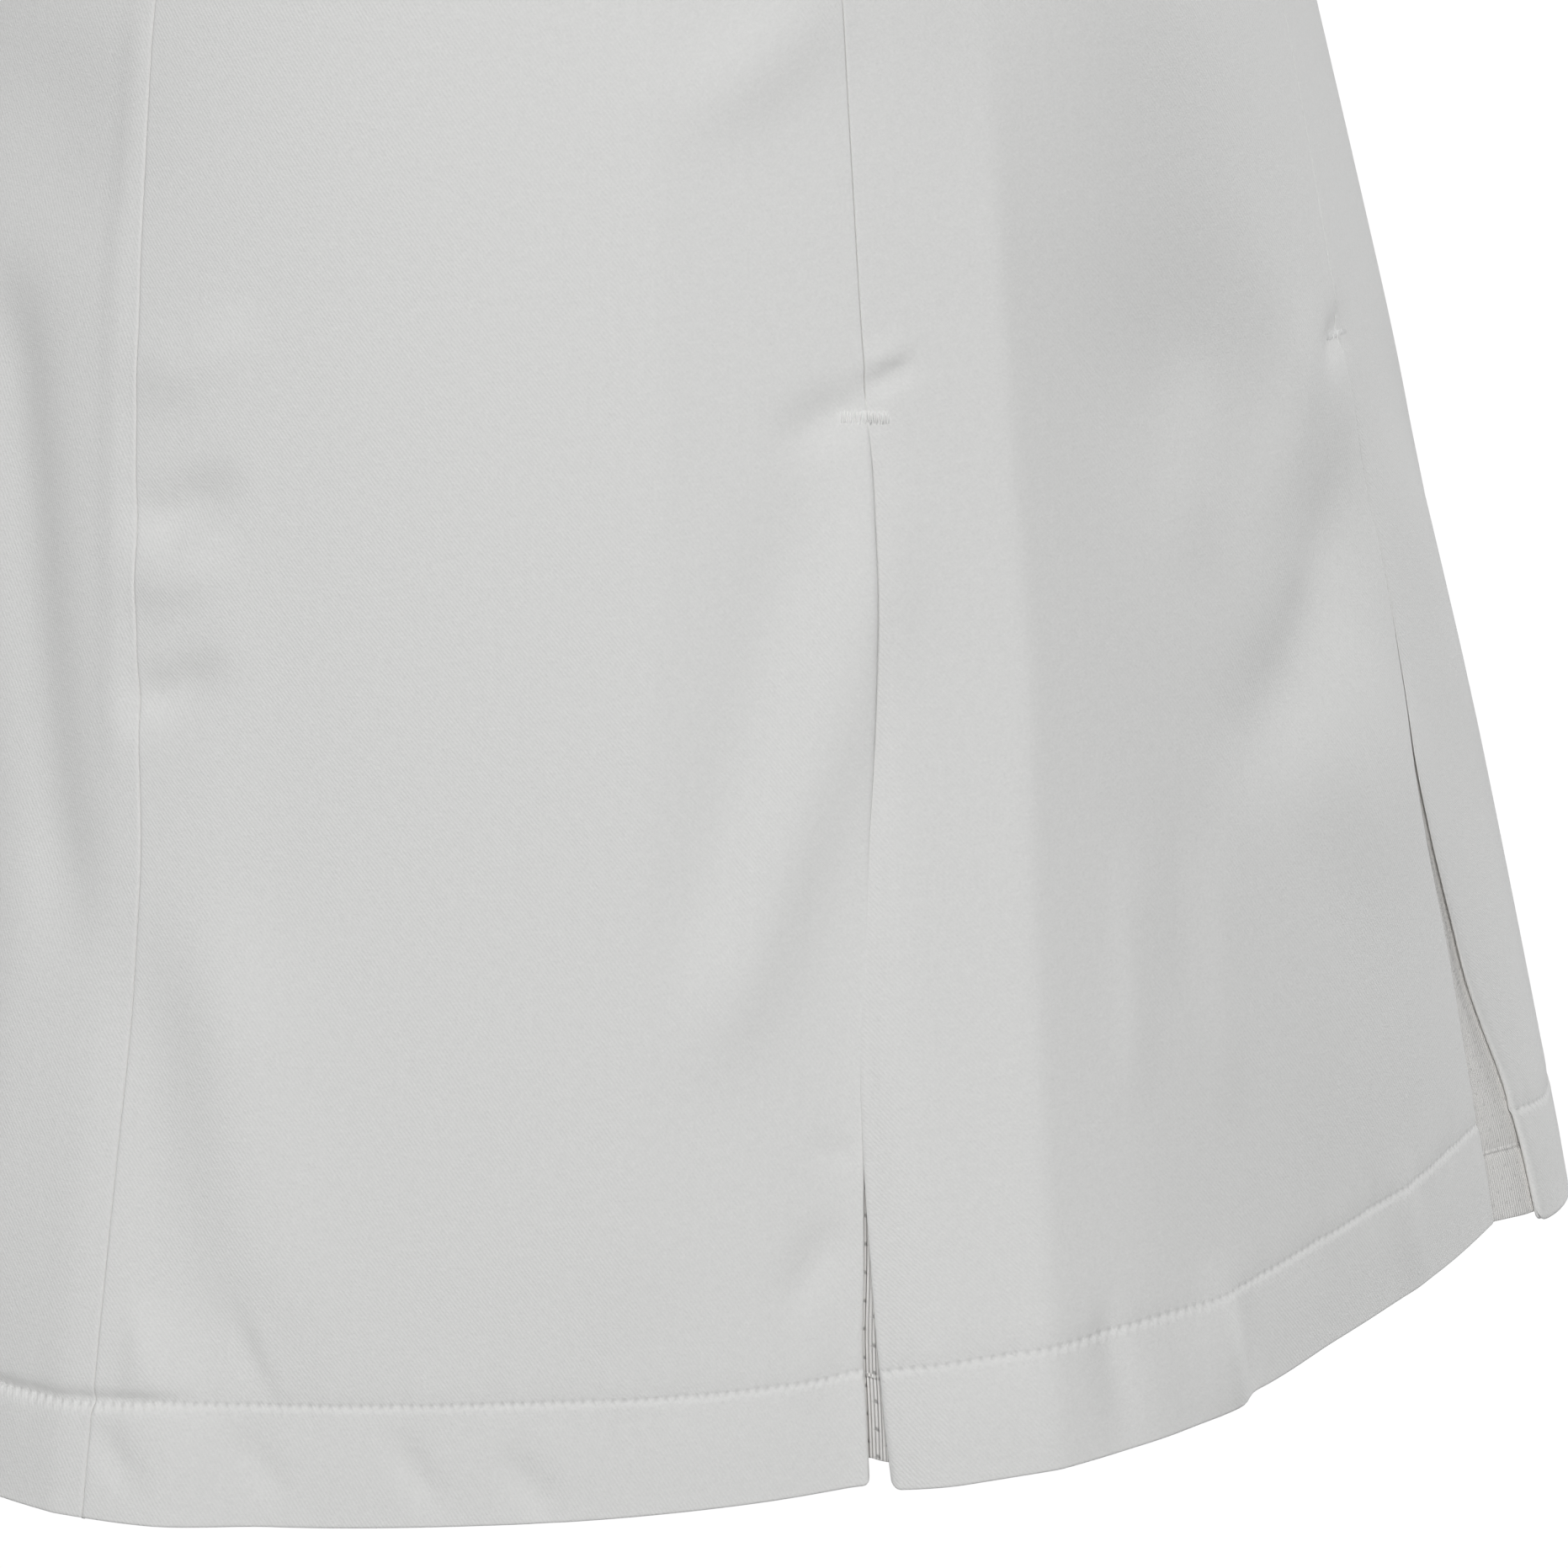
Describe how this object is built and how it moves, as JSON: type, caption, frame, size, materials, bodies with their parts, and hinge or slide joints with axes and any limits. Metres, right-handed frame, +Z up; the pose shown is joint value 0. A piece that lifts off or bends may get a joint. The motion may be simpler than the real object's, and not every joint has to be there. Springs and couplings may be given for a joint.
{
  "type": "tennis skirt",
  "caption": "White A-line tennis skirt with an elastic waistband, a plain front seam and inverted pleats that open over mesh inserts, hollow as worn.",
  "frame": {"origin": "centre of the waist opening, at the top edge of the waistband", "axes": "+Z up, out of the waist; -Y to the front of the skirt; +X to the wearer's left"},
  "size_m": [0.435, 0.3824, 0.3669],
  "materials": {
    "cloth": "matte",
    "mesh": "matte",
    "elastic": "matte"
  },
  "bodies": {
    "root": {"waistband": "elastic", "front_left": "cloth", "front_right": "cloth", "side_front_left": "cloth", "side_front_right": "cloth", "back": "cloth", "front_insert_left": "mesh", "front_insert_right": "mesh", "side_insert_left": "mesh", "side_insert_right": "mesh"}
  },
  "joints": []
}
